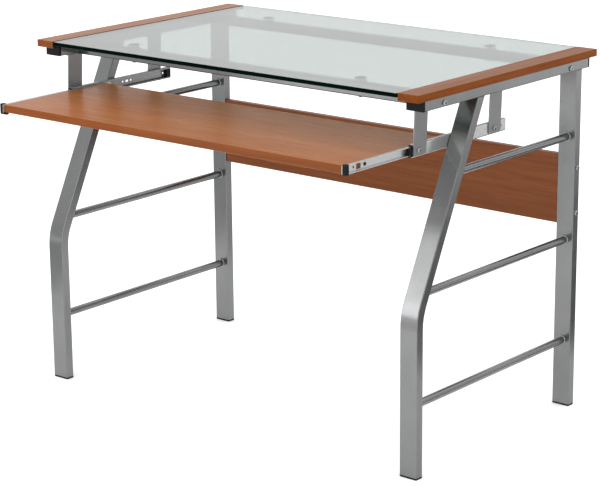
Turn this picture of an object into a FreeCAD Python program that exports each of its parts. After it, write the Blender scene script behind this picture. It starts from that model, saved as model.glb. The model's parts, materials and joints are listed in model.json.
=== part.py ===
"""Computer desk with a glass top and a pull-out keyboard tray.

Two welded side frames of rectangular steel tube carry wood caps, two cross rails and a
modesty panel. The glass rests on clear pads between the caps. The tray hangs from the
side rails on ball-bearing slides and is modelled pulled out.

Millimetres, +Z up, the front faces -Y. The origin is on the floor, at the middle of the
space that the desk fills with the tray as modelled. Shapes are made for the right-hand
side (+X) and mirrored for the left.
"""
import FreeCAD
import Part
import math
import os

os.makedirs("parts", exist_ok=True)
Vector = FreeCAD.Vector
X_AXIS = Vector(1, 0, 0)
Y_AXIS = Vector(0, 1, 0)
Z_AXIS = Vector(0, 0, 1)

# ---- Driving dimensions ------------------------------------------------------------

# overall
overall_width = 1000.0
overall_height = 750.0
top_depth = 610.0
tray_reach = 152.5          # tray ahead of the top's front edge, as modelled
frame_width = 992.0         # across the outer faces of the legs

# steel tube of legs and side rails
tube_width = 40.0
tube_depth = 20.0
tube_wall = 1.5
tube_corner = 1.6
tube_inner_corner = 0.8

# side frames
leg_setback = 7.0           # front leg behind the top's front edge
frame_depth = 553.0         # front of the front leg to back of the rear leg, at the floor
leg_lean = 191.0            # how far back the front leg's top end is from its foot
bend_height = 323.0         # where the front leg's two centre lines meet
bend_radius = 110.0
side_rail_length = 554.0
rung_diameter = 16.0
rung_wall = 1.2
rung_spacing = 216.7
lower_rung_height = 143.0
glide_height = 4.0
plug_head = 5.0
plug_lip = 0.1              # plug head beyond the tube at its sides and bottom
insert_depth = 15.0
insert_play = 0.2

# top
cap_width = 48.0
cap_thickness = 15.0
cap_length = 607.0
cap_arris = 1.5
glass_thickness = 8.0
glass_drop = 0.8            # glass surface below the caps' surface
glass_gap = 1.0             # between the glass and each cap
glass_arris = 0.5
glass_corner = 3.0

# cross rails and glass pads
cross_rail_size = 20.0
cross_rail_spacing = 430.0
cross_rail_shift = 2.5       # both cross rails ahead of the top's middle
cross_rail_drop = 2.0       # cross rail's top below the side rail's top
pad_diameter = 24.0
pad_spacing = 599.0

# modesty panel
panel_bottom = 392.0
panel_height = 146.0
board_arris = 1.0
panel_thickness = 15.0
panel_play = 0.5
panel_bolt_inset = 25.5     # bolt centre from the panel's top and bottom edges
barrel_nut_inset = 30.0     # barrel nut's axis from the panel's end
barrel_nut_diameter = 10.0

# keyboard tray
tray_width = 889.0
tray_depth = 294.0
tray_thickness = 16.0
tray_top = 641.0
bumper_proud = 3.0          # slide bumpers ahead of the tray's front edge

# slides
slide_thickness = 11.0
cabinet_height = 25.0
cabinet_corner = 2.5
cabinet_depth = 10.0
cabinet_length = 303.0
cabinet_setback = 46.0      # cabinet member's front end behind the top's front edge
drawer_height = 17.0
drawer_channel = 8.0
drawer_length = 311.8
sheet = 1.2
lip = 2.0
ball_diameter = 2.65
balls_per_row = 8
cage_length = 56.0
cage_sheet = 0.8
travel_out = 45.0           # from the modelled position to the slides' full extension
retainer_height = 20.8
retainer_length = 12.0
retainer_column = 2.6       # full-height part at the retainer's rear
retainer_wall = 1.4
bumper_length = 10.0
bumper_foot = 10.0          # left bumper's foot under the tray
stop_length = 11.0

# hangers
hanger_width = 40.0
hanger_sheet = 2.5
hanger_flange = 20.0
hanger_bottom = 622.5
hanger_corner = 7.0
front_hanger_setback = 64.0  # hanger's middle behind the top's front edge
hanger_spacing = 244.0
hanger_offset = 5.0          # hanger's top behind its bottom

# fasteners
bolt_radius = 2.95          # M6 shank, in a thread of 3.0 radius
thread_radius = 3.0
bolt_hole_radius = 3.4
bolt_head_radius = 5.5
bolt_head_height = 3.6
screw_radius = 1.95
hanger_head_radius = 5.2
hanger_head_height = 3.4
tray_head_radius = 3.4
tray_head_height = 1.6
screw_hole_radius = 2.0

# ---- Positions that follow ---------------------------------------------------------

top_rear = (top_depth + tray_reach) / 2
top_front = top_rear - top_depth
top_middle = (top_front + top_rear) / 2

leg_outer = frame_width / 2
leg_inner = leg_outer - tube_width
leg_x = (leg_outer + leg_inner) / 2
front_leg_y = top_front + leg_setback + tube_depth / 2
rear_leg_y = top_front + leg_setback + frame_depth - tube_depth / 2
leg_bottom = glide_height

cap_bottom = overall_height - cap_thickness
rail_top = cap_bottom
rail_bottom = rail_top - tube_depth
rail_middle = (rail_top + rail_bottom) / 2
rail_front = top_middle - side_rail_length / 2
rail_rear = top_middle + side_rail_length / 2
cap_outer = overall_width / 2
cap_inner = cap_outer - cap_width

glass_top_level = overall_height - glass_drop
glass_bottom = glass_top_level - glass_thickness

cross_rail_top = rail_top - cross_rail_drop
cross_rail_bottom = cross_rail_top - cross_rail_size
cross_rail_middle = (cross_rail_top + cross_rail_bottom) / 2
cross_rail_rows = {
    "front": top_middle - cross_rail_shift - cross_rail_spacing / 2,
    "rear": top_middle - cross_rail_shift + cross_rail_spacing / 2,
}

tray_front = top_front - tray_reach + bumper_proud
tray_rear = tray_front + tray_depth
tray_edge = tray_width / 2
slide_inner = tray_edge
slide_outer = slide_inner + slide_thickness
slide_middle = tray_top - tray_thickness / 2 - 0.25

cabinet_front = top_front + cabinet_setback
cabinet_rear = cabinet_front + cabinet_length
cabinet_inner = slide_outer - cabinet_depth
drawer_front = tray_front - bumper_proud + 0.2
drawer_rear = drawer_front + drawer_length
drawer_tip = slide_inner + drawer_channel
raceway_outer = cabinet_height / 2 - sheet
raceway_inner = drawer_height / 2
ball_level = (raceway_outer + raceway_inner) / 2
ball_x = (cabinet_inner + sheet + slide_outer - sheet) / 2

hanger_rows = {
    "front": top_front + front_hanger_setback,
    "rear": top_front + front_hanger_setback + hanger_spacing,
}
hanger_screw_rows = {
    "front": hanger_rows["front"] - 4.0,
    "rear": hanger_rows["rear"] - 2.0,
}


# ---- Shape helpers -----------------------------------------------------------------

def block(x_range, y_range, z_range):
    """A box between two limits on each axis."""
    size = [high - low for low, high in (x_range, y_range, z_range)]
    corner = Vector(x_range[0], y_range[0], z_range[0])
    return Part.makeBox(size[0], size[1], size[2], corner)


def rod(radius, start, end):
    """A round bar from one point to another."""
    direction = end - start
    return Part.makeCylinder(radius, direction.Length, start, direction)


def around(middle, size):
    """The limits of a span of a given size about its middle."""
    return (middle - size / 2, middle + size / 2)


def edges_along(shape, axis):
    """The straight edges that run along an axis."""
    found = []
    for edge in shape.Edges:
        if edge.Curve.TypeId == "Part::GeomLine":
            if abs(edge.tangentAt(edge.FirstParameter).dot(axis)) > 0.999:
                found.append(edge)
    return found


def rounded_block(x_range, y_range, z_range, axis, radius):
    """A box with the edges along one axis rounded."""
    solid = block(x_range, y_range, z_range)
    return solid.makeFillet(radius, edges_along(solid, axis))


def softened_board(x_range, y_range, z_range, arris):
    """A board with every edge slightly rounded."""
    solid = block(x_range, y_range, z_range)
    return solid.makeFillet(arris, solid.Edges)


def place(shape, position, direction):
    """Turn a shape made along +Z to point along a direction, and put it in place."""
    placed = shape.copy()
    turn = FreeCAD.Rotation(Z_AXIS, direction)
    placed.Placement = FreeCAD.Placement(position, turn)
    return placed


def socket_bolt(length):
    """M6 bolt with a domed round head and a hexagon socket. The shank runs along +Z."""
    head = rod(bolt_head_radius, Vector(0, 0, -bolt_head_height), Vector(0, 0, 0))
    rim = [edge for edge in head.Edges if edge.BoundBox.ZMax < -bolt_head_height + 0.01]
    head = head.makeFillet(2.0, rim)
    shank = rod(bolt_radius, Vector(0, 0, 0), Vector(0, 0, length))
    corners = []
    for index in range(7):
        angle = math.radians(60 * index)
        corners.append(Vector(2.3 * math.cos(angle), 2.3 * math.sin(angle), -bolt_head_height))
    hexagon = Part.Face(Part.makePolygon(corners))
    socket = hexagon.extrude(Vector(0, 0, 2.2))
    return head.fuse(shank).cut(socket).removeSplitter()


def cross_head_screw(head_radius, head_height, shank_radius, length):
    """Pan-head screw with a cross recess. The shank runs along +Z."""
    head = rod(head_radius, Vector(0, 0, -head_height), Vector(0, 0, 0))
    rim = [edge for edge in head.Edges if edge.BoundBox.ZMax < -head_height + 0.01]
    head = head.makeFillet(0.65 * head_height, rim)
    shank = rod(shank_radius, Vector(0, 0, 0), Vector(0, 0, length))
    screw = head.fuse(shank)
    arm = 0.55 * head_radius
    slot = 0.14 * head_radius
    depth = (-head_height - 1.0, -0.45 * head_height)
    screw = screw.cut(block((-arm, arm), (-slot, slot), depth))
    screw = screw.cut(block((-slot, slot), (-arm, arm), depth))
    return screw.removeSplitter()


def mirrored(shape):
    """The same shape on the left-hand side."""
    return shape.mirror(Vector(0, 0, 0), X_AXIS)


def export(shape, node):
    """Write one node."""
    shape.exportStep("parts/%s.step" % node)


def export_pair(shape, name):
    """Write a right-hand shape and its mirror image as two nodes."""
    export(shape, "right_" + name)
    export(mirrored(shape), "left_" + name)


def export_group(shapes, node):
    """Write identical pieces as separate solids in one node."""
    export(Part.makeCompound(shapes), node)


def both_sides(shapes):
    """Shapes and their mirror images."""
    return shapes + [mirrored(shape) for shape in shapes]


# ---- Side frames -------------------------------------------------------------------

def leg_section(y_middle, inset):
    """The leg tube's outline at the floor end, drawn in by an inset."""
    radius = tube_inner_corner if inset else tube_corner
    slab = rounded_block(
        around(leg_x, tube_width - 2 * inset),
        around(y_middle, tube_depth - 2 * inset),
        (leg_bottom, leg_bottom + 1.0),
        Z_AXIS,
        radius,
    )
    ends = [face for face in slab.Faces if face.BoundBox.ZMax < leg_bottom + 0.01]
    return ends[0].OuterWire


def front_leg_path():
    """Centre line of the front leg: upright, one bend, then leaning back."""
    angle = math.atan2(leg_lean, rail_bottom - bend_height)
    tangent = bend_radius * math.tan(angle / 2)
    centre = Vector(leg_x, front_leg_y + bend_radius, bend_height - tangent)

    def on_bend(turn):
        return centre + Vector(0, -bend_radius * math.cos(turn), bend_radius * math.sin(turn))

    bend = Part.Arc(on_bend(0), on_bend(angle / 2), on_bend(angle)).toShape()
    foot = Vector(leg_x, front_leg_y, leg_bottom)
    lean = Vector(0, math.sin(angle), math.cos(angle))
    head = Vector(leg_x, front_leg_y + leg_lean, rail_bottom) + lean * 20
    lower = Part.LineSegment(foot, on_bend(0)).toShape()
    upper = Part.LineSegment(on_bend(angle), head).toShape()
    return Part.Wire([lower, bend, upper])


def bent_leg(inset):
    """The front leg's solid outline, drawn in by an inset and cut level under the rail."""
    solid = front_leg_path().makePipeShell([leg_section(front_leg_y, inset)], True, False)
    above = block((0, frame_width), (-frame_depth, frame_depth), (rail_bottom, overall_height))
    return solid.cut(above)


def front_leg():
    return bent_leg(0).cut(bent_leg(tube_wall)).removeSplitter()


def straight_leg(inset):
    return rounded_block(
        around(leg_x, tube_width - 2 * inset),
        around(rear_leg_y, tube_depth - 2 * inset),
        (leg_bottom, rail_bottom),
        Z_AXIS,
        tube_inner_corner if inset else tube_corner,
    )


def panel_bolt_heights():
    return [panel_bottom + panel_bolt_inset, panel_bottom + panel_height - panel_bolt_inset]


def rear_leg():
    """Straight tube with clearance holes for the modesty panel's bolts."""
    leg = straight_leg(0).cut(straight_leg(tube_wall))
    for height in panel_bolt_heights():
        start = Vector(leg_inner - 5, rear_leg_y, height)
        end = Vector(leg_outer + 5, rear_leg_y, height)
        leg = leg.cut(rod(bolt_hole_radius, start, end))
    return leg


def front_leg_middle(height):
    """Where the front leg's centre line is at a height."""
    rise = max(height - bend_height, 0)
    return front_leg_y + leg_lean * rise / (rail_bottom - bend_height)


def rung(height):
    """Round tube welded between the two legs, coped to the front leg's back face."""
    start = Vector(leg_x, front_leg_middle(height), height)
    end = Vector(leg_x, rear_leg_y - tube_depth / 2, height)
    bar = rod(rung_diameter / 2, start, end)
    bore = rod(rung_diameter / 2 - rung_wall, start, end)
    return bar.cut(bent_leg(0)).cut(bore)


def cap_screw_rows():
    return [top_middle - 140.0, top_middle + 140.0]


def side_rail():
    """Rectangular tube lying flat, drilled for the rail bolts and the cap screws."""
    outer = rounded_block(
        (leg_inner, leg_outer), (rail_front, rail_rear), (rail_bottom, rail_top), Y_AXIS, tube_corner
    )
    inner = rounded_block(
        (leg_inner + tube_wall, leg_outer - tube_wall),
        (rail_front, rail_rear),
        (rail_bottom + tube_wall, rail_top - tube_wall),
        Y_AXIS,
        tube_inner_corner,
    )
    rail = outer.cut(inner)
    for row in cross_rail_rows.values():
        start = Vector(leg_inner - 5, row, cross_rail_middle)
        end = Vector(leg_outer + 5, row, cross_rail_middle)
        rail = rail.cut(rod(bolt_hole_radius, start, end))
    for row in cap_screw_rows():
        start = Vector(leg_x, row, rail_bottom - 5)
        end = Vector(leg_x, row, rail_top + 5)
        rail = rail.cut(rod(2.8, start, end))
    return rail


def rail_plug(end, outward):
    """Plastic plug in a side rail's open end: a head and a square insert."""
    head_y = sorted((end, end + outward * plug_head))
    insert_y = sorted((end, end - outward * insert_depth))
    inset = tube_wall + insert_play
    head_x = (leg_inner - plug_lip, leg_outer + plug_lip)
    head = rounded_block(head_x, head_y, (rail_bottom - plug_lip, rail_top), Y_AXIS, tube_corner)
    face = [edge for edge in head.Edges if abs(edge.BoundBox.Center.y - (end + outward * plug_head)) < 0.01]
    head = head.makeFillet(0.8, face)
    insert = block(
        (leg_inner + inset, leg_outer - inset), insert_y, (rail_bottom + inset, rail_top - inset)
    )
    return head.fuse(insert).removeSplitter()


def foot_glide(y_middle):
    """Plastic glide under a leg: a thin foot and an insert in the tube."""
    foot = rounded_block(
        (leg_inner, leg_outer), around(y_middle, tube_depth), (0, glide_height), Z_AXIS, tube_corner
    )
    sole = [edge for edge in foot.Edges if edge.BoundBox.ZMax < 0.01]
    foot = foot.makeFillet(1.0, sole)
    inset = tube_wall + insert_play
    insert = block(
        (leg_inner + inset, leg_outer - inset),
        around(y_middle, tube_depth - 2 * inset),
        (glide_height, glide_height + insert_depth),
    )
    return foot.fuse(insert).removeSplitter()


def hanger(name):
    """Steel strap from under the side rail down to the slide, with a flange at the top."""
    inner = slide_outer
    low_y = around(hanger_rows[name], hanger_width)
    high_y = [limit + hanger_offset for limit in low_y]
    corners = [
        Vector(inner, low_y[0], hanger_bottom),
        Vector(inner, low_y[1], hanger_bottom),
        Vector(inner, high_y[1], rail_bottom),
        Vector(inner, high_y[0], rail_bottom),
    ]
    outline = Part.Face(Part.makePolygon(corners + corners[:1]))
    strap = outline.extrude(X_AXIS * hanger_sheet)
    lower = []
    for edge in edges_along(strap, X_AXIS):
        if edge.BoundBox.ZMax < hanger_bottom + 0.01:
            lower.append(edge)
    strap = strap.makeFillet(hanger_corner, lower)
    flange = block((inner, inner + hanger_flange), high_y, (rail_bottom - hanger_sheet, rail_bottom))
    solid = strap.fuse(flange)
    rail_row = cross_rail_rows[name]
    relief = block(
        (inner - 5, leg_inner + 0.3),
        around(rail_row, cross_rail_size + 0.6),
        (cross_rail_bottom - 0.3, rail_top),
    )
    start = Vector(inner - 5, hanger_screw_rows[name], slide_middle)
    end = Vector(inner + 10, hanger_screw_rows[name], slide_middle)
    return solid.cut(relief).cut(rod(screw_hole_radius + 0.2, start, end)).removeSplitter()


# ---- Top ---------------------------------------------------------------------------

def wood_cap():
    """Long board on the side rail, with pilot holes for its two screws."""
    board = softened_board(
        (cap_inner, cap_outer), around(top_middle, cap_length), (cap_bottom, overall_height), cap_arris
    )
    for row in cap_screw_rows():
        start = Vector(leg_x, row, cap_bottom - 5)
        end = Vector(leg_x, row, cap_bottom + 11)
        board = board.cut(rod(2.5, start, end))
    return board


def glass_top():
    """Glass sheet between the caps, with ground corners and arrises."""
    half = cap_inner - glass_gap
    sheet_of_glass = rounded_block(
        (-half, half), (top_front, top_rear), (glass_bottom, glass_top_level), Z_AXIS, glass_corner
    )
    rims = []
    for edge in sheet_of_glass.Edges:
        if edge.BoundBox.ZLength < 0.01:
            rims.append(edge)
    return sheet_of_glass.makeChamfer(glass_arris, rims)


def pad_places():
    return [(side * pad_spacing / 2, row) for row in cross_rail_rows.values() for side in (-1, 1)]


def cross_rail(row):
    """Square tube between the side rails, drilled up through for the pad screws."""
    outer = rounded_block(
        (-leg_inner, leg_inner),
        around(row, cross_rail_size),
        (cross_rail_bottom, cross_rail_top),
        X_AXIS,
        2.0,
    )
    bore = rounded_block(
        (-leg_inner, leg_inner),
        around(row, cross_rail_size - 2 * tube_wall),
        (cross_rail_bottom + tube_wall, cross_rail_top - tube_wall),
        X_AXIS,
        0.8,
    )
    rail = outer.cut(bore)
    for x, pad_row in pad_places():
        if pad_row == row:
            start = Vector(x, row, cross_rail_bottom - 5)
            end = Vector(x, row, cross_rail_top + 5)
            rail = rail.cut(rod(2.8, start, end))
    return rail


def rail_insert(row):
    """Threaded insert in the right-hand end of a cross rail."""
    size = cross_rail_size - 2 * tube_wall - 0.1
    body = rounded_block(
        (leg_inner - 22, leg_inner - 0.2), around(row, size), around(cross_rail_middle, size), X_AXIS, 0.9
    )
    start = Vector(leg_inner - 30, row, cross_rail_middle)
    end = Vector(leg_inner + 5, row, cross_rail_middle)
    return body.cut(rod(thread_radius, start, end))


def glass_pad(x, row):
    """Clear round pad with a waist, and a threaded hole from below."""
    height = glass_bottom - cross_rail_top
    radius = pad_diameter / 2
    pad = rod(radius, Vector(x, row, cross_rail_top), Vector(x, row, glass_bottom))
    ring = Part.makeTorus(radius + 0.9, height * 0.28, Vector(x, row, cross_rail_top + height / 2), Z_AXIS)
    pad = pad.cut(ring)
    hole = rod(2.55, Vector(x, row, cross_rail_top - 1), Vector(x, row, cross_rail_top + 6.5))
    return pad.cut(hole)


# ---- Modesty panel -----------------------------------------------------------------

def modesty_panel():
    """Board between the rear legs, bored from its ends and from its back."""
    half = leg_inner - panel_play
    board = softened_board(
        (-half, half),
        around(rear_leg_y, panel_thickness),
        (panel_bottom, panel_bottom + panel_height),
        board_arris,
    )
    cutters = []
    for height in panel_bolt_heights():
        bore_start = Vector(half - barrel_nut_inset - 8, rear_leg_y, height)
        cutters.append(rod(bolt_hole_radius, bore_start, Vector(half + 5, rear_leg_y, height)))
        nut_start = Vector(half - barrel_nut_inset, rear_leg_y - 5.5, height)
        nut_end = Vector(half - barrel_nut_inset, rear_leg_y + panel_thickness, height)
        cutters.append(rod(barrel_nut_diameter / 2 + 0.1, nut_start, nut_end))
    for cutter in both_sides(cutters):
        board = board.cut(cutter)
    return board


def barrel_nut(height):
    """Cross-drilled round nut in the panel, slotted so that it can be turned from behind."""
    x = leg_inner - panel_play - barrel_nut_inset
    back = rear_leg_y + 6.5
    nut = rod(barrel_nut_diameter / 2, Vector(x, rear_leg_y - 5.5, height), Vector(x, back, height))
    nut = nut.cut(rod(thread_radius, Vector(x - 10, rear_leg_y, height), Vector(x + 10, rear_leg_y, height)))
    slot = block(around(x, 1.4), (back - 1.5, back + 1), around(height, barrel_nut_diameter + 2))
    return nut.cut(slot)


# ---- Keyboard tray and slides --------------------------------------------------------

def tray_screw_rows():
    return [tray_front + 62.5, tray_rear - 14.0]


def tray_board():
    """Tray board with pilot holes in its side edges."""
    board = softened_board(
        (-tray_edge, tray_edge), (tray_front, tray_rear), (tray_top - tray_thickness, tray_top), board_arris
    )
    holes = []
    for row in tray_screw_rows():
        start = Vector(tray_edge - 15, row, slide_middle)
        holes.append(rod(1.8, start, Vector(tray_edge + 5, row, slide_middle)))
    for hole in both_sides(holes):
        board = board.cut(hole)
    return board


def web_hole(radius, row, x_range):
    """A cutter through an upright web."""
    start = Vector(x_range[0] - 1, row, slide_middle)
    return rod(radius, start, Vector(x_range[1] + 1, row, slide_middle))


def cabinet_member():
    """Fixed slide member: a channel open towards the tray, with lips over the raceways."""
    y_range = (cabinet_front, cabinet_rear)
    x_range = (cabinet_inner, slide_outer)
    half = cabinet_height / 2
    channel = rounded_block(
        x_range, y_range, around(slide_middle, cabinet_height), Y_AXIS, cabinet_corner
    )
    hollow_x = (cabinet_inner + sheet, slide_outer - sheet)
    channel = channel.cut(block(hollow_x, y_range, around(slide_middle, 2 * (half - sheet))))
    mouth = (cabinet_inner - 1, cabinet_inner + sheet + 0.5)
    channel = channel.cut(block(mouth, y_range, around(slide_middle, 2 * (half - sheet - lip))))
    web = (slide_outer - sheet, slide_outer)
    hole_group = cabinet_front + 174.0
    for row in (hole_group - 12.5, hole_group + 12.5, cabinet_rear - 15.0):
        channel = channel.cut(web_hole(2.2, row, web))
    slot = block((web[0] - 1, web[1] + 1), around(hole_group, 4.0), around(slide_middle, 4.4))
    channel = channel.cut(slot)
    for row in (hole_group - 2, hole_group + 2):
        channel = channel.cut(web_hole(2.2, row, web))
    for row in hanger_screw_rows.values():
        channel = channel.cut(web_hole(screw_hole_radius, row, web))
    return channel.removeSplitter()


def drawer_member():
    """Moving slide member: a channel open away from the tray, screwed to the tray's edge."""
    y_range = (drawer_front, drawer_rear)
    outer = rounded_block(
        (slide_inner, drawer_tip + 2), y_range, around(slide_middle, drawer_height), Y_AXIS, 1.0
    )
    trim = block((drawer_tip, drawer_tip + 5), y_range, around(slide_middle, drawer_height + 2))
    hollow = block(
        (slide_inner + sheet, drawer_tip + 5), y_range, around(slide_middle, drawer_height - 2 * sheet)
    )
    cut_back = block(
        (slide_inner + 2.0, drawer_tip + 5),
        (drawer_front - 1, drawer_front + 2.0),
        around(slide_middle, drawer_height + 2),
    )
    channel = outer.cut(trim).cut(hollow).cut(cut_back)
    web = (slide_inner, slide_inner + sheet)
    channel = channel.cut(web_hole(2.4, tray_front + 29.0, web))
    for row in tray_screw_rows():
        channel = channel.cut(web_hole(screw_hole_radius, row, web))
    window = block((web[0] - 1, web[1] + 1), around(tray_front + 43.9, 13.0), around(slide_middle, 11.5))
    return channel.cut(window).removeSplitter()


def front_retainer():
    """Plastic guide on the cabinet member's front end, above, below and within the drawer member."""
    front = cabinet_front - retainer_length
    column_front = cabinet_front - retainer_column
    half = retainer_height / 2
    core = block(
        (slide_inner + sheet + 1.0, slide_outer),
        (front, cabinet_front),
        around(slide_middle, drawer_height - 2 * sheet - 1.0),
    )
    head_groove = block(
        (slide_inner, slide_inner + sheet + tray_head_height + 0.7),
        (front - 1, cabinet_front + 1),
        around(slide_middle, 2 * tray_head_radius + 1.2),
    )
    notch = Vector(0, front - 6.5, slide_middle)
    core = core.cut(head_groove).cut(rod(8.0, notch, notch + X_AXIS * frame_width))
    column = rounded_block(
        (cabinet_inner + 0.3, slide_outer),
        (column_front, cabinet_front),
        around(slide_middle, retainer_height),
        X_AXIS,
        1.2,
    )
    passage = block(
        (cabinet_inner - 5, drawer_tip + 0.5),
        (column_front - 1, cabinet_front + 20),
        around(slide_middle, retainer_height - 2 * retainer_wall),
    )
    lower_jaw = block(
        (cabinet_inner + 0.3, slide_outer),
        (front + 1.0, column_front + 2.0),
        (slide_middle - half, slide_middle - half + retainer_wall),
    )
    body = column.cut(passage).fuse(core).fuse(lower_jaw)
    for side in (-1, 1):
        prong = block(
            (cabinet_inner + sheet + 0.4, slide_outer - sheet - 0.4),
            (column_front + 0.4, cabinet_front + 7),
            around(slide_middle + side * (ball_level + 0.05), 2.2),
        )
        body = body.fuse(prong)
    return body.removeSplitter()


def rear_stop():
    """Plastic block in the cabinet member's rear end."""
    y_range = (cabinet_rear - stop_length, cabinet_rear + 1.0)
    half = cabinet_height / 2 - sheet
    inside = block((cabinet_inner + sheet, slide_outer - sheet), y_range, around(slide_middle, 2 * half))
    tongue = block((cabinet_inner + 0.2, cabinet_inner + 3), y_range, around(slide_middle, 2 * (half - lip)))
    return inside.fuse(tongue).removeSplitter()


def bumper():
    """Plastic stop in and around the drawer member's front end; the web's edge stays bare."""
    y_range = (tray_front - bumper_proud, tray_front - bumper_proud + bumper_length)
    z_range = (slide_middle - drawer_height / 2 - 1.0, slide_middle + drawer_height / 2 + 1.8)
    body = rounded_block((slide_inner + sheet, drawer_tip + 0.8), y_range, z_range, X_AXIS, 1.5)
    return body.cut(drawer_member())


def bumper_with_foot():
    """Left-hand bumper: the same, with a foot reaching under the tray."""
    y_range = (tray_front - bumper_proud, tray_front - bumper_proud + 0.6 * bumper_length)
    level = tray_top - tray_thickness - 0.4
    foot = rounded_block(
        (slide_inner - bumper_foot, drawer_tip + 0.8), y_range, (level - 3.2, level), Y_AXIS, 0.8
    )
    return bumper().fuse(foot).cut(drawer_member()).removeSplitter()


def cage_middle():
    """Middle of the ball cage: it follows the tray at half its speed, between the two ends."""
    room_front = cabinet_front + 8.0
    room_rear = drawer_rear - travel_out
    return (room_front + room_rear) / 2 + travel_out / 2


def ball_rows():
    pitch = cage_length / balls_per_row
    first = cage_middle() - cage_length / 2 + pitch / 2
    return [first + index * pitch for index in range(balls_per_row)]


def ball_cage():
    """Thin channel with a pocket for each ball."""
    y_range = around(cage_middle(), cage_length)
    tip = cabinet_inner + sheet + 1.0
    web = (drawer_tip + 0.5, drawer_tip + 0.5 + cage_sheet)
    cage = block(web, y_range, around(slide_middle, 2 * ball_level + cage_sheet))
    for side in (-1, 1):
        level = slide_middle + side * ball_level
        cage = cage.fuse(block((tip, web[1]), y_range, around(level, cage_sheet)))
    for row in ball_rows():
        start = Vector(ball_x, row, slide_middle - cabinet_height / 2)
        cage = cage.cut(rod(ball_diameter / 2 + 0.1, start, start + Z_AXIS * cabinet_height))
    return cage.removeSplitter()


def cage_balls():
    balls = []
    for row in ball_rows():
        for side in (-1, 1):
            centre = Vector(ball_x, row, slide_middle + side * ball_level)
            balls.append(Part.makeSphere(ball_diameter / 2, centre))
    return balls


# ---- Nodes -------------------------------------------------------------------------

export_pair(side_rail(), "side_rail")
export_pair(front_leg(), "front_leg")
export_pair(rear_leg(), "rear_leg")
for step, name in enumerate(("lower_rung", "middle_rung", "upper_rung")):
    export_pair(rung(lower_rung_height + step * rung_spacing), name)
export_pair(rail_plug(rail_front, -1), "front_rail_plug")
export_pair(rail_plug(rail_rear, 1), "rear_rail_plug")
export_pair(foot_glide(front_leg_y), "front_foot_glide")
export_pair(foot_glide(rear_leg_y), "rear_foot_glide")
for name in hanger_rows:
    export_pair(hanger(name), name + "_hanger")

export_pair(wood_cap(), "wood_cap")
export(glass_top(), "glass_top")
for name, row in cross_rail_rows.items():
    export(cross_rail(row), name + "_cross_rail")
export(modesty_panel(), "modesty_panel")

export(tray_board(), "tray_board")
export_pair(cabinet_member(), "cabinet_slide")
export_pair(drawer_member(), "drawer_slide")
export_pair(front_retainer(), "slide_retainer")
export_pair(rear_stop(), "slide_rear_stop")
export(bumper(), "right_slide_bumper")
export(mirrored(bumper_with_foot()), "left_slide_bumper")
export_pair(ball_cage(), "ball_cage")
right_balls = cage_balls()
export_group(right_balls, "right_slide_balls")
export_group([mirrored(ball) for ball in right_balls], "left_slide_balls")

export_group([glass_pad(x, row) for x, row in pad_places()], "glass_pads")
pad_screw = cross_head_screw(4.5, 3.0, 2.5, cross_rail_size + 6.0)
pad_screws = []
for x, row in pad_places():
    pad_screws.append(place(pad_screw, Vector(x, row, cross_rail_bottom), Z_AXIS))
export_group(pad_screws, "pad_screws")

export_group(both_sides([rail_insert(row) for row in cross_rail_rows.values()]), "rail_inserts")
rail_bolts = []
for row in cross_rail_rows.values():
    rail_bolts.append(place(socket_bolt(56.0), Vector(leg_outer, row, cross_rail_middle), -X_AXIS))
export_group(both_sides(rail_bolts), "rail_bolts")

export_group(both_sides([barrel_nut(height) for height in panel_bolt_heights()]), "panel_barrel_nuts")
panel_bolts = []
for height in panel_bolt_heights():
    panel_bolts.append(place(socket_bolt(74.0), Vector(leg_outer, rear_leg_y, height), -X_AXIS))
export_group(both_sides(panel_bolts), "panel_bolts")

cap_screw = cross_head_screw(5.0, 3.0, 2.45, tube_depth + 10.0)
cap_screws = []
for row in cap_screw_rows():
    cap_screws.append(place(cap_screw, Vector(leg_x, row, rail_bottom), Z_AXIS))
export_group(both_sides(cap_screws), "cap_screws")

hanger_grip = hanger_sheet + sheet - 0.1
hanger_screw = cross_head_screw(hanger_head_radius, hanger_head_height, screw_radius, hanger_grip)
hanger_screws = []
for row in hanger_screw_rows.values():
    spot = Vector(slide_outer + hanger_sheet, row, slide_middle)
    hanger_screws.append(place(hanger_screw, spot, -X_AXIS))
export_group(both_sides(hanger_screws), "hanger_screws")

tray_screw = cross_head_screw(tray_head_radius, tray_head_height, 1.75, 15.0)
tray_screws = []
for row in tray_screw_rows():
    tray_screws.append(place(tray_screw, Vector(slide_inner + sheet, row, slide_middle), -X_AXIS))
export_group(both_sides(tray_screws), "tray_screws")
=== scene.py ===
"""Looks of the computer desk: materials, weld beads, a pale studio and the camera."""

import json
import math

import bmesh
import bpy
from mathutils import Matrix, Vector, noise


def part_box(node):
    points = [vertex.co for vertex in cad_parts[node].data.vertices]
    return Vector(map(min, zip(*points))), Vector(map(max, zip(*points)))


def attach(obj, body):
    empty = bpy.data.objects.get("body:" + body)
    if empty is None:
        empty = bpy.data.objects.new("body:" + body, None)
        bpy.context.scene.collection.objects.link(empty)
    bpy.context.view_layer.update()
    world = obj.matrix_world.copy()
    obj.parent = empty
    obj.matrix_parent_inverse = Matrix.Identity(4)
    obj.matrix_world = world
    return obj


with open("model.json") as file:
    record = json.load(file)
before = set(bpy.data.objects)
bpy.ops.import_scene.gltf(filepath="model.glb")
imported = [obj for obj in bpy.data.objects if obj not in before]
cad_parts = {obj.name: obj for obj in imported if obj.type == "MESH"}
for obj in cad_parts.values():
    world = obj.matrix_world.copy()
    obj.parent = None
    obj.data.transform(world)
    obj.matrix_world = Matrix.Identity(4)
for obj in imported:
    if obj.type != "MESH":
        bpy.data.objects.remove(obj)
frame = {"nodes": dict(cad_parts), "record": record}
nodes = frame["nodes"]
scene = bpy.context.scene
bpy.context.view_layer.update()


# ---- Camera ------------------------------------------------------------------------

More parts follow.
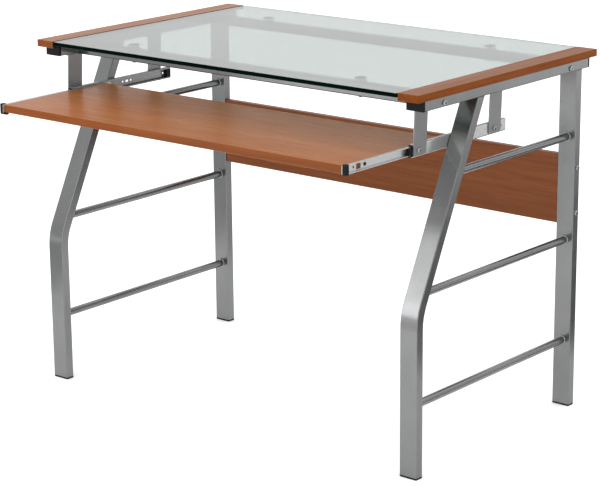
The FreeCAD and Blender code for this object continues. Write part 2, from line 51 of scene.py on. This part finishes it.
def make_camera():
    """A long lens at the desk's front right corner, a little above the top."""
    azimuth = math.radians(39.892)
    elevation = math.radians(15.411)
    roll = math.radians(-0.536)
    target = Vector((0.0, 0.0326, 0.3325))
    distance = 4.3977
    forward = Vector((
        -math.sin(azimuth) * math.cos(elevation),
        math.cos(azimuth) * math.cos(elevation),
        -math.sin(elevation),
    ))
    right = Vector((math.cos(azimuth), math.sin(azimuth), 0.0))
    up = right.cross(forward)
    turned_right = right * math.cos(roll) + up * math.sin(roll)
    turned_up = up * math.cos(roll) - right * math.sin(roll)
    data = bpy.data.cameras.new("camera")
    data.lens = 125.354
    data.sensor_width = 36.0
    data.clip_start = 0.1
    data.clip_end = 100.0
    camera = bpy.data.objects.new("camera", data)
    scene.collection.objects.link(camera)
    axes = Matrix((turned_right, turned_up, -forward)).transposed()
    camera.matrix_world = Matrix.Translation(target - forward * distance) @ axes.to_4x4()
    scene.camera = camera


# ---- Node graph helpers ------------------------------------------------------------

class Graph:
    """A material's node tree, with short calls for the nodes used here."""

    def __init__(self, name):
        self.material = bpy.data.materials.new(name)
        self.material.use_nodes = True
        self.tree = self.material.node_tree
        self.tree.nodes.clear()
        self.output = self.tree.nodes.new("ShaderNodeOutputMaterial")
        self.shader = self.tree.nodes.new("ShaderNodeBsdfPrincipled")
        self.link(self.shader.outputs["BSDF"], self.output.inputs["Surface"])
        coordinates = self.tree.nodes.new("ShaderNodeTexCoord")
        self.position = coordinates.outputs["Object"]

    def link(self, source, target):
        self.tree.links.new(source, target)

    def set(self, **values):
        """Plain values on the shader's sockets, with underscores for spaces."""
        for name, value in values.items():
            self.shader.inputs[name.replace("_", " ")].default_value = value

    def feed(self, socket, source):
        """Connect an output to the shader."""
        self.link(source, self.shader.inputs[socket])

    def stretched(self, stretch):
        """The object's position, scaled on each axis."""
        mapping = self.tree.nodes.new("ShaderNodeMapping")
        mapping.inputs["Scale"].default_value = stretch
        self.link(self.position, mapping.inputs["Vector"])
        return mapping.outputs["Vector"]

    def noise(self, scale, detail=3.0, roughness=0.5, stretch=(1, 1, 1), distortion=0.0):
        node = self.tree.nodes.new("ShaderNodeTexNoise")
        node.inputs["Scale"].default_value = scale
        node.inputs["Detail"].default_value = detail
        node.inputs["Roughness"].default_value = roughness
        node.inputs["Distortion"].default_value = distortion
        self.link(self.stretched(stretch), node.inputs["Vector"])
        return node.outputs["Fac"]

    def math(self, operation, first, second=None, clamp=False):
        node = self.tree.nodes.new("ShaderNodeMath")
        node.operation = operation
        node.use_clamp = clamp
        for socket, value in zip(node.inputs, (first, second)):
            if value is None:
                continue
            if isinstance(value, (int, float)):
                socket.default_value = value
            else:
                self.link(value, socket)
        return node.outputs[0]

    def remap(self, source, low, high, new_low, new_high):
        node = self.tree.nodes.new("ShaderNodeMapRange")
        self.link(source, node.inputs["Value"])
        node.inputs["From Min"].default_value = low
        node.inputs["From Max"].default_value = high
        node.inputs["To Min"].default_value = new_low
        node.inputs["To Max"].default_value = new_high
        return node.outputs["Result"]

    def spread(self, source, low, high):
        """The part of a noise between two levels, stretched to 0 to 1."""
        return self.remap(source, low, high, 0.0, 1.0)

    def blend(self, factor, first, second, mode="MIX"):
        """Mix two colours; each is an output or three numbers."""
        node = self.tree.nodes.new("ShaderNodeMix")
        node.data_type = "RGBA"
        node.blend_type = mode
        sockets = (node.inputs[0], node.inputs[6], node.inputs[7])
        for socket, value in zip(sockets, (factor, first, second)):
            if isinstance(value, tuple):
                socket.default_value = (*value, 1.0)
            elif isinstance(value, (int, float)):
                socket.default_value = value
            else:
                self.link(value, socket)
        return node.outputs[2]

    def bump(self, height, distance, strength):
        node = self.tree.nodes.new("ShaderNodeBump")
        node.inputs["Distance"].default_value = distance
        node.inputs["Strength"].default_value = strength
        self.link(height, node.inputs["Height"])
        return node.outputs["Normal"]

    def normal(self, axis):
        """One component of the surface's normal."""
        geometry = self.tree.nodes.new("ShaderNodeNewGeometry")
        parts = self.tree.nodes.new("ShaderNodeSeparateXYZ")
        self.link(geometry.outputs["Normal"], parts.inputs["Vector"])
        return parts.outputs[axis]

    def normal_part(self, axis):
        """How far the surface faces along an axis, 0 to 1 either way."""
        return self.math("ABSOLUTE", self.normal(axis))

    def facing(self, axis, sign):
        """How far the surface faces one way along an axis, 0 to 1."""
        return self.math("MULTIPLY", self.normal(axis), float(sign), True)

    def diffuse(self, tone, roughness, specular):
        """Another Principled shader, opaque, with a plain roughness and specular level."""
        node = self.tree.nodes.new("ShaderNodeBsdfPrincipled")
        self.link(tone, node.inputs["Base Color"])
        node.inputs["Roughness"].default_value = roughness
        node.inputs["Specular IOR Level"].default_value = specular
        return node.outputs["BSDF"]

    def mix_shaders(self, factor, first, second):
        node = self.tree.nodes.new("ShaderNodeMixShader")
        self.link(factor, node.inputs["Fac"])
        self.link(first, node.inputs[1])
        self.link(second, node.inputs[2])
        return node.outputs["Shader"]


# ---- Materials ---------------------------------------------------------------------

def silver_paint(name, shade=1.0):
    """Glossy silver lacquer over smooth tube: faint orange peel, fine flake and cloudy tone. A
    shade below 1 gives a darker copy, painted shade for a part that gets less light.
    """
    g = Graph(name)
    cloud = g.noise(7.0, 4.0, 0.55)
    speck = g.noise(1400.0, 1.0)
    tone = g.blend(g.spread(cloud, 0.35, 0.65), (0.188, 0.190, 0.192), (0.215, 0.217, 0.219))
    tone = g.blend(g.remap(speck, 0.4, 0.62, 0.0, 0.16), tone, (0.36, 0.363, 0.366))
    # Painted shade: a shade below 1 darkens this copy for a part that gets less light.
    tone = g.blend(1.0, tone, (shade, shade, shade), "MULTIPLY")
    g.feed("Base Color", tone)
    g.feed("Roughness", g.remap(g.noise(40.0, 3.0), 0.3, 0.7, 0.18, 0.25))
    g.feed("Normal", g.bump(g.noise(420.0, 2.0), 0.00010, 0.35))
    g.set(Metallic=0.92)
    return g.material


def satin_paint():
    """Satin grey lacquer on flat strip, faintly mottled."""
    g = Graph("satin_paint")
    cloud = g.noise(9.0, 4.0, 0.55)
    speck = g.noise(1100.0, 1.0)
    tone = g.blend(g.spread(cloud, 0.35, 0.65), (0.21, 0.212, 0.214), (0.235, 0.237, 0.239))
    tone = g.blend(g.remap(speck, 0.4, 0.62, 0.0, 0.16), tone, (0.30, 0.303, 0.306))
    g.feed("Base Color", tone)
    g.feed("Roughness", g.remap(g.noise(60.0, 3.0), 0.3, 0.7, 0.34, 0.42))
    g.feed("Normal", g.bump(g.noise(500.0, 2.0), 0.00008, 0.3))
    g.set(Metallic=0.8)
    return g.material


def cherry(name, grain_axis, shade=1.0, gloss=0.17, backing=False, painted_shade_side=0):
    """Satin cherry laminate, the grain along one axis, with a redder, deeper edge banding.

    The shade is a factor that makes a whole piece lighter or darker: painted light and shade
    for how much light falls on that piece. A board with backing has plain grey balancing
    sheet on its underside. The painted shade side, 1 or -1 along X, is the inner face by the
    glass, painted near black as painted shade for the narrow gap there.
    """
    g = Graph(name)
    along = [1.0, 1.0, 1.0]
    along[grain_axis] = 0.045
    fine_along = [1.0, 1.0, 1.0]
    fine_along[grain_axis] = 0.012
    bands = g.noise(26.0, 4.0, 0.55, tuple(along), 0.6)
    streaks = g.noise(150.0, 5.0, 0.6, tuple(along))
    fibres = g.noise(900.0, 3.0, 0.6, tuple(fine_along))
    patches = g.noise(5.5, 2.0, 0.5, (1, 1, 1))
    tone = g.blend(g.spread(bands, 0.32, 0.68), (0.235, 0.074, 0.016), (0.300, 0.102, 0.025))
    tone = g.blend(g.remap(streaks, 0.42, 0.62, 0.0, 0.45), tone, (0.205, 0.060, 0.013))
    tone = g.blend(g.remap(fibres, 0.45, 0.68, 0.0, 0.35), tone, (0.185, 0.052, 0.011))
    tone = g.blend(g.remap(patches, 0.4, 0.65, 0.0, 0.25), tone, (0.270, 0.080, 0.016))
    # Painted light and shade: the factor lightens or darkens the whole piece for how much light
    # falls on it.
    tone = g.blend(1.0, tone, (shade, shade, shade), "MULTIPLY")
    edge = g.remap(g.normal_part(2), 0.35, 0.75, 0.95, 0.0)
    banding = g.spread(streaks, 0.35, 0.65)
    edge_tone = g.blend(banding, (0.195, 0.048, 0.003), (0.150, 0.034, 0.001))
    tone = g.blend(edge, tone, edge_tone)
    if painted_shade_side:
        # Painted shade: the inner face by the glass is near black, standing in for the shade in
        # the narrow gap.
        gap_painted_shade = g.spread(g.facing(0, painted_shade_side), 0.1, 0.45)
        tone = g.blend(gap_painted_shade, tone, (0.010, 0.006, 0.004))
    if backing:
        paper = g.blend(g.noise(60.0, 4.0, 0.6), (0.40, 0.40, 0.395), (0.46, 0.46, 0.455))
        tone = g.blend(g.spread(g.facing(2, -1), 0.7, 0.9), tone, paper)
    g.feed("Base Color", tone)
    g.feed("Roughness", g.remap(streaks, 0.3, 0.7, 0.26, 0.38))
    height = g.math("ADD", g.math("MULTIPLY", fibres, 0.6), g.math("MULTIPLY", streaks, 0.4))
    g.feed("Normal", g.bump(height, 0.00008, 0.35))
    g.set(IOR=1.5, Specular_IOR_Level=gloss)
    return g.material


def panel_cherry():
    """The modesty panel's darker, redder face, with its grain across the desk."""
    g = Graph("panel_cherry")
    stretch = (0.045, 1.0, 1.0)
    bands = g.noise(30.0, 4.0, 0.55, stretch, 0.8)
    streaks = g.noise(170.0, 5.0, 0.6, stretch)
    fibres = g.noise(900.0, 3.0, 0.6, (0.012, 1.0, 1.0))
    tone = g.blend(g.spread(bands, 0.32, 0.68), (0.170, 0.045, 0.010), (0.222, 0.066, 0.016))
    tone = g.blend(g.remap(streaks, 0.42, 0.62, 0.0, 0.6), tone, (0.138, 0.034, 0.007))
    tone = g.blend(g.remap(fibres, 0.45, 0.68, 0.0, 0.4), tone, (0.132, 0.031, 0.007))
    g.feed("Base Color", tone)
    g.feed("Roughness", g.remap(streaks, 0.3, 0.7, 0.28, 0.4))
    height = g.math("ADD", g.math("MULTIPLY", fibres, 0.6), g.math("MULTIPLY", streaks, 0.4))
    g.feed("Normal", g.bump(height, 0.00008, 0.35))
    g.set(IOR=1.5, Specular_IOR_Level=0.17)
    return g.material


def clear_glass():
    """Float glass: clear faces tinted green and dimmed as painted shade, dark green polished edges
    and a ground arris.

    Light from the lamps passes it as if it were a plain clear sheet.
    """
    g = Graph("clear_glass")
    g.set(Transmission_Weight=1.0, IOR=1.5, Roughness=0.0)
    g.set(Coat_Weight=0.6, Coat_Roughness=0.0, Coat_IOR=1.5)
    smear = g.noise(3.0, 2.0)
    # Painted shade: the pane passes far less light than clear glass, standing in for the shaded
    # floor seen through it; the green is the glass's own.
    tint_and_painted_shade = g.blend(g.spread(smear, 0.3, 0.7), (0.345, 0.42, 0.39), (0.375, 0.445, 0.415))
    g.feed("Base Color", tint_and_painted_shade)
    depth = g.noise(60.0, 2.0, 0.5, (0.1, 0.1, 1.0))
    edge = g.diffuse(g.blend(depth, (0.0005, 0.003, 0.002), (0.002, 0.008, 0.006)), 0.25, 0.0)
    frosted = g.blend(g.noise(500.0, 2.0), (0.006, 0.013, 0.010), (0.012, 0.022, 0.018))
    arris = g.diffuse(frosted, 0.30, 0.06)
    upright = g.normal_part(2)
    rim = g.mix_shaders(g.spread(upright, 0.3, 0.4), edge, arris)
    clear = g.tree.nodes.new("ShaderNodeBsdfTransparent")
    clear.inputs["Color"].default_value = (0.86, 0.90, 0.88, 1.0)
    shadow = g.tree.nodes.new("ShaderNodeLightPath").outputs["Is Shadow Ray"]
    pane = g.mix_shaders(shadow, g.shader.outputs["BSDF"], clear.outputs["BSDF"])
    whole = g.mix_shaders(g.spread(upright, 0.9, 0.95), rim, pane)
    g.link(whole, g.output.inputs["Surface"])
    return g.material


def clear_pad():
    """Soft clear plastic."""
    g = Graph("clear_pad")
    g.feed("Base Color", g.blend(g.noise(120.0, 2.0), (0.88, 0.90, 0.89), (0.94, 0.96, 0.95)))
    g.feed("Roughness", g.remap(g.noise(300.0, 2.0), 0.3, 0.7, 0.03, 0.10))
    g.set(IOR=1.45, Transmission_Weight=1.0)
    return g.material


def zinc(name, dark, light, rough):
    """Zinc-plated rolled strip: lengthwise rolling lines and a faint cloudy spangle."""
    g = Graph(name)
    lines = g.noise(700.0, 3.0, 0.6, (1.0, 0.02, 1.0))
    spangle = g.noise(260.0, 2.0)
    tone = g.blend(g.spread(spangle, 0.3, 0.7), dark, light)
    g.feed("Base Color", tone)
    g.feed("Roughness", g.remap(lines, 0.3, 0.7, rough, rough + 0.10))
    g.feed("Normal", g.bump(lines, 0.00006, 0.4))
    g.set(Metallic=0.85)
    return g.material


def black_plastic():
    """Moulded black plastic with a fine spark-eroded texture."""
    g = Graph("black_plastic")
    grain = g.noise(1600.0, 2.0)
    g.feed("Base Color", g.blend(g.noise(80.0, 2.0), (0.004, 0.004, 0.005), (0.009, 0.009, 0.010)))
    g.feed("Roughness", g.remap(grain, 0.3, 0.7, 0.42, 0.6))
    g.feed("Normal", g.bump(grain, 0.00008, 0.5))
    g.set(Specular_IOR_Level=0.12)
    return g.material


def plated_steel():
    """Nickel-plated fasteners: bright, with small turned marks."""
    g = Graph("bolt_steel")
    marks = g.noise(1500.0, 2.0)
    g.feed("Base Color", g.blend(g.noise(200.0, 2.0), (0.30, 0.305, 0.31), (0.40, 0.405, 0.41)))
    g.feed("Roughness", g.remap(marks, 0.3, 0.7, 0.10, 0.20))
    g.feed("Normal", g.bump(marks, 0.00004, 0.3))
    g.set(Metallic=1.0)
    return g.material


def black_screw():
    """Black-oxide screws, slightly mottled."""
    g = Graph("black_oxide")
    mottle = g.noise(600.0, 2.0)
    g.feed("Base Color", g.blend(mottle, (0.012, 0.012, 0.013), (0.030, 0.030, 0.032)))
    g.feed("Roughness", g.remap(mottle, 0.3, 0.7, 0.30, 0.45))
    g.feed("Normal", g.bump(mottle, 0.00003, 0.3))
    g.set(Metallic=0.6)
    return g.material


def ball_steel():
    """Polished ball-race steel under a film of grease."""
    g = Graph("ball_steel")
    film = g.noise(900.0, 2.0)
    g.feed("Base Color", g.blend(film, (0.62, 0.62, 0.60), (0.80, 0.80, 0.80)))
    g.feed("Roughness", g.remap(film, 0.3, 0.7, 0.06, 0.20))
    g.set(Metallic=1.0)
    return g.material


def weld_metal():
    """Painted weld: the same silver coat over rippled metal."""
    g = Graph("weld_paint")
    ripple = g.noise(900.0, 3.0)
    g.feed("Base Color", g.blend(ripple, (0.30, 0.305, 0.31), (0.46, 0.465, 0.47)))
    g.feed("Roughness", g.remap(ripple, 0.3, 0.7, 0.22, 0.36))
    g.feed("Normal", g.bump(ripple, 0.0003, 0.7))
    g.set(Metallic=0.45)
    return g.material


def give(node, material):
    """Put a material in all of a node's slots."""
    for slot in nodes[node].material_slots:
        slot.material = material


def dress_nodes():
    """Every CAD node gets the material that its slot names."""
    slots = {part["node"]: part["material_slot"] for part in frame["record"]["subparts"]}
    by_slot = {
        "silver_paint": silver_paint("silver_paint"),
        "cherry_laminate": cherry("cherry_laminate", 0),
        "clear_glass": clear_glass(),
        "clear_pad": clear_pad(),
        "zinc_plate": zinc("zinc_plate", (0.50, 0.505, 0.505), (0.60, 0.605, 0.605), 0.16),
        "black_plastic": black_plastic(),
        "bolt_steel": plated_steel(),
        "ball_steel": ball_steel(),
    }
    for node in sorted(nodes):
        give(node, by_slot[slots[node]])
    # Painted light and shade: the caps and the tray are lighter or darker copies of one cherry,
    # and each cap's inner face by the glass is painted near black as painted shade.
    give("left_wood_cap", cherry("left_cap_cherry", 1, 0.95, painted_shade_side=1))
    give("right_wood_cap", cherry("right_cap_cherry", 1, 0.78, 0.06, painted_shade_side=-1))
    give("modesty_panel", panel_cherry())
    give("tray_board", cherry("tray_cherry", 0, 1.22, backing=True))
    # Painted shade: the cross rails get darker copies of the silver paint.
    give("front_cross_rail", silver_paint("front_rail_paint", 0.62))
    give("rear_cross_rail", silver_paint("rear_rail_paint", 0.8))
    give("tray_screws", black_screw())
    satin = satin_paint()
    for row in ("front_", "rear_"):
        give("left_" + row + "hanger", satin)
        give("right_" + row + "hanger", satin)
    # Painted shade: the left rungs get a darker copy of the silver paint.
    rung_painted_shade = silver_paint("left_rung_paint", 0.86)
    for level in ("lower", "middle", "upper"):
        give("left_" + level + "_rung", rung_painted_shade)
    for side in ("left_", "right_"):
        bright = zinc(side + "drawer_zinc", (0.56, 0.565, 0.565), (0.62, 0.625, 0.625), 0.30)
        give(side + "drawer_slide", bright)
    # Painted shade: the left cabinet slide gets a darker copy of the plated zinc for the shade it
    # sits in under the tray.
    cabinet_painted_shade = zinc("painted_shade_zinc", (0.26, 0.265, 0.265), (0.33, 0.335, 0.335), 0.22)
    give("left_cabinet_slide", cabinet_painted_shade)


# ---- Weld beads --------------------------------------------------------------------

bead_radius = 0.0011
lump_radius = 0.0019        # a thicker blob on top of each rung's weld
lump_reach = 0.0025         # half the lump's length
leaning_run = 0.0228        # front to back of the leaning tube, where it meets the rail
corner_inset = 0.004        # rail beads stop short of the tube's corners

def bead_along(points, radius, name, material):
    """A rippled weld bead along a closed or open run of points."""
    mesh = bmesh.new()
    spacing = radius * 0.9
    swelling = 0.22
    wander = 0.25
    placed = []
    for start, end in zip(points[:-1], points[1:]):
        run = end - start
        count = max(int(run.length / spacing), 1)
        placed += [start + run * (step / count) for step in range(count)]
    for centre in placed:
        swell = 1.0 + swelling * noise.noise(centre * 420.0)
        drift = Vector((noise.noise(centre * 300.0), noise.noise(centre * 310.0), 0.0))
        lift = drift * radius * wander
        matrix = Matrix.Translation(centre + lift) @ Matrix.Scale(swell, 4)
        bmesh.ops.create_icosphere(mesh, subdivisions=2, radius=radius, matrix=matrix)
    data = bpy.data.meshes.new(name)
    mesh.to_mesh(data)
    mesh.free()
    for polygon in data.polygons:
        polygon.use_smooth = True
    piece = bpy.data.objects.new(name, data)
    scene.collection.objects.link(piece)
    piece.data.materials.append(material)
    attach(piece, "frame")


def ring(centre, radius):
    """Points on a circle in the XZ plane, the last one on the first."""
    steps = 24
    points = []
    for index in range(steps + 1):
        angle = 2 * math.pi * index / steps
        points.append(centre + Vector((math.cos(angle), 0.0, math.sin(angle))) * radius)
    return points


def make_welds():
    """Beads where the rungs meet the rear legs and where the legs meet the side rails."""
    material = weld_metal()
    for side in ("left_", "right_"):
        for level in ("lower", "middle", "upper"):
            low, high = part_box(side + level + "_rung")
            middle = (low + high) / 2
            radius = (high.z - low.z) / 2
            rear = Vector((middle.x, high.y - bead_radius * 0.4, middle.z))
            circle = ring(rear, radius + bead_radius * 0.3)
            bead_along(circle, bead_radius, side + level + "_rear_weld", material)
            crown = rear + Vector((0.0, -0.0015, radius + 0.0006))
            reach = Vector((lump_reach, 0.0, 0.0))
            lump = [crown - reach, crown + reach]
            bead_along(lump, lump_radius, side + level + "_weld_lump", material)
        rail_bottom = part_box(side + "side_rail")[0].z
        for leg in ("front", "rear"):
            low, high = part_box(side + leg + "_leg")
            front_y = high.y - leaning_run if leg == "front" else low.y
            for tag, y, outward in (("back", high.y, 1), ("face", front_y, -1)):
                off_face = y + outward * bead_radius * 0.3
                under_rail = rail_bottom - bead_radius * 0.3
                run = [
                    Vector((low.x + corner_inset, off_face, under_rail)),
                    Vector((high.x - corner_inset, off_face, under_rail)),
                ]
                bead_along(run, bead_radius, side + leg + "_" + tag + "_rail_weld", material)


# ---- Studio ------------------------------------------------------------------------

def make_floor():
    """A wide pale floor."""
    bpy.ops.mesh.primitive_grid_add(x_subdivisions=4, y_subdivisions=4, size=60.0)
    floor = bpy.context.object
    floor.name = "floor"
    g = Graph("floor_white")
    g.feed("Base Color", g.blend(g.noise(0.8, 2.0), (0.87, 0.87, 0.87), (0.89, 0.89, 0.89)))
    g.set(Roughness=0.9, Specular_IOR_Level=0.1, Emission_Strength=0.22)
    g.set(Emission_Color=(1.0, 1.0, 1.0, 1.0))
    floor.data.materials.append(g.material)


def make_card(name, low, high, tone):
    """A grey studio card lying on the floor: it shows in reflections only."""
    bpy.ops.mesh.primitive_grid_add(x_subdivisions=2, y_subdivisions=2, size=1.0)
    card = bpy.context.object
    card.name = name
    card.scale = (high[0] - low[0], high[1] - low[1], 1.0)
    card.location = ((low[0] + high[0]) / 2, (low[1] + high[1]) / 2, 0.002)
    g = Graph(name)
    g.set(Base_Color=(tone, tone, tone, 1.0), Roughness=0.9, Specular_IOR_Level=0.1)
    card.data.materials.append(g.material)
    card.visible_camera = False
    card.visible_shadow = False
    card.visible_diffuse = False
    card.visible_transmission = False


def softbox(name, position, size, radiance, target):
    """A rectangular area light that points at the desk."""
    data = bpy.data.lights.new(name, "AREA")
    data.shape = "RECTANGLE"
    data.size, data.size_y = size
    data.energy = radiance * size[0] * size[1] * math.pi
    light = bpy.data.objects.new(name, data)
    scene.collection.objects.link(light)
    light.location = position
    direction = Vector(target) - Vector(position)
    light.rotation_euler = direction.to_track_quat("-Z", "Y").to_euler()


def make_world():
    """White surroundings, brighter overhead, and plain white where they are seen directly."""
    world = bpy.data.worlds.new("studio")
    scene.world = world
    world.use_nodes = True
    tree = world.node_tree
    background = tree.nodes["Background"]
    coordinates = tree.nodes.new("ShaderNodeTexCoord")
    parts = tree.nodes.new("ShaderNodeSeparateXYZ")
    height = tree.nodes.new("ShaderNodeMapRange")
    height.interpolation_type = "SMOOTHSTEP"
    height.inputs["From Min"].default_value = 0.3
    height.inputs["From Max"].default_value = 0.8
    height.inputs["To Min"].default_value = 0.85
    height.inputs["To Max"].default_value = 1.65
    tree.links.new(coordinates.outputs["Generated"], parts.inputs["Vector"])
    tree.links.new(parts.outputs["Z"], height.inputs["Value"])
    path = tree.nodes.new("ShaderNodeLightPath")
    seen = tree.nodes.new("ShaderNodeMix")
    seen.data_type = "FLOAT"
    seen.inputs[3].default_value = 1.0
    tree.links.new(path.outputs["Is Camera Ray"], seen.inputs[0])
    tree.links.new(height.outputs["Result"], seen.inputs[2])
    tree.links.new(seen.outputs[0], background.inputs["Strength"])
    background.inputs["Color"].default_value = (1.0, 1.0, 1.0, 1.0)


make_camera()
make_world()
make_floor()
make_card("right_card", low=(0.9, 0.2), high=(1.72, 2.4), tone=0.16)
make_card("near_right_card", low=(0.5, -0.25), high=(0.9, 0.6), tone=0.9)
make_card("rear_card", low=(0.72, 0.6), high=(0.9, 1.6), tone=0.14)
make_card("near_rear_card", low=(0.5, 0.6), high=(0.72, 1.3), tone=0.65)
make_card("far_right_card", low=(1.72, 0.2), high=(3.2, 3.2), tone=0.60)
make_card("back_card", low=(-0.2, 0.75), high=(0.7, 2.2), tone=0.62)
make_card("left_card", low=(-2.6, -2.6), high=(-0.98, -0.2), tone=0.5)
make_card("near_left_card", low=(-0.98, -2.6), high=(-0.75, -0.9), tone=0.5)
make_card("middle_card", low=(-0.75, -1.6), high=(-0.15, -0.55), tone=0.64)
make_card("front_card", low=(0.9, -2.2), high=(2.2, -0.8), tone=0.25)
softbox(
    "key", position=(-0.51, -1.37, 0.72), size=(0.7, 0.66),
    radiance=2.8, target=(0.475, -0.2, 0.4),
)
softbox(
    "upper_key", position=(-0.51, -1.37, 1.28), size=(0.7, 0.46),
    radiance=1.15, target=(0.475, -0.2, 0.6),
)
dress_nodes()
make_welds()

scene.view_settings.view_transform = "Standard"
scene.view_settings.look = "None"
